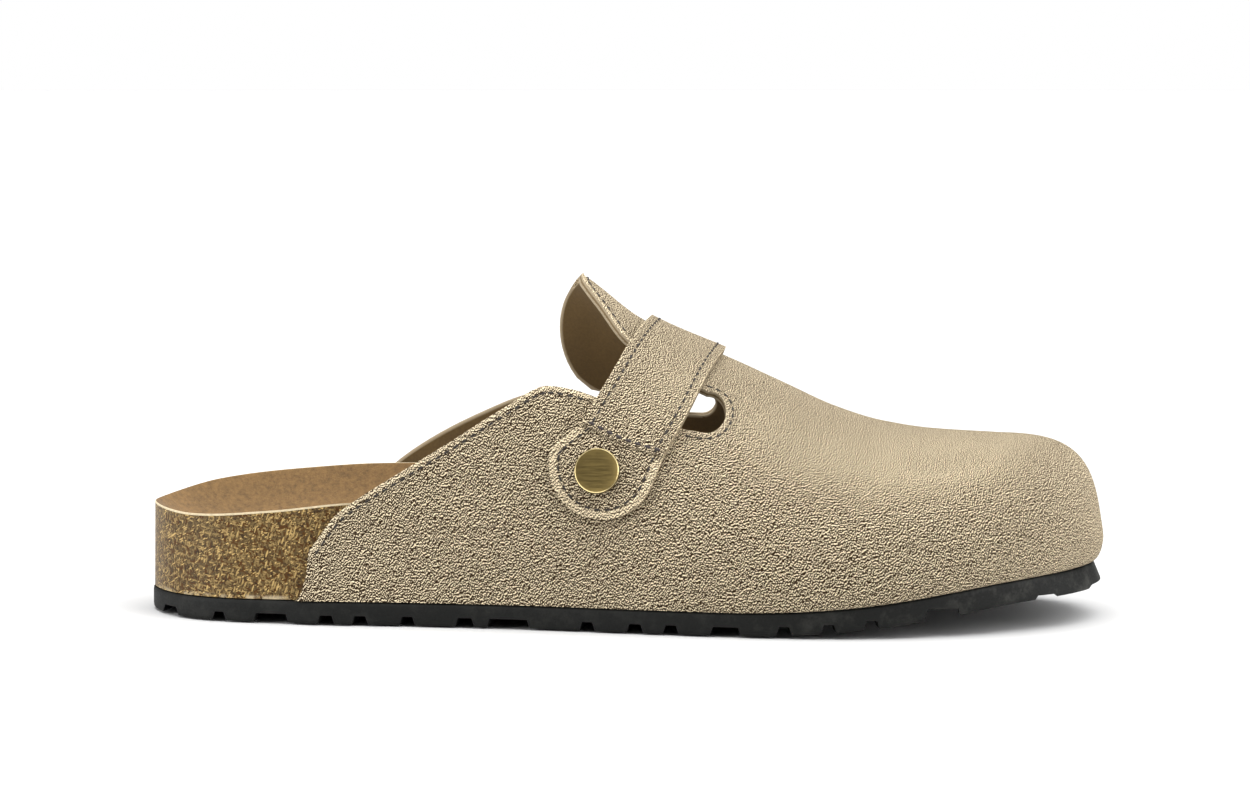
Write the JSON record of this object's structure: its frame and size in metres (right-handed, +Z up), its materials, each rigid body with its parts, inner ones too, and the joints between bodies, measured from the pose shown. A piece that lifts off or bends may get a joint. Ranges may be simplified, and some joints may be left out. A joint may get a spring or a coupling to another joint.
{
  "type": "footbed clog",
  "caption": "Right slip-on clog with a closed suede toe, open heel, cupped cork footbed, instep strap with a round stud, and a black grooved sole.",
  "frame": {"origin": "on the floor, under the middle of the shoe's box", "axes": "+X towards the toe, +Y towards the inner side of the foot, +Z up"},
  "size_m": [0.2802, 0.1068, 0.0988],
  "materials": {
    "foam_rubber_black": "matte moulded foam rubber",
    "cork": "pressed cork with a light sealer",
    "suede_tan": "napped suede",
    "suede_taupe": "napped suede",
    "antique_brass": "aged, brushed face and polished rim"
  },
  "bodies": {
    "root": {"outsole": "foam_rubber_black", "cork_footbed": "cork", "footbed_lining": "suede_tan", "upper": "suede_taupe", "instep_strap": "suede_taupe", "strap_stud": "antique_brass"}
  },
  "joints": []
}
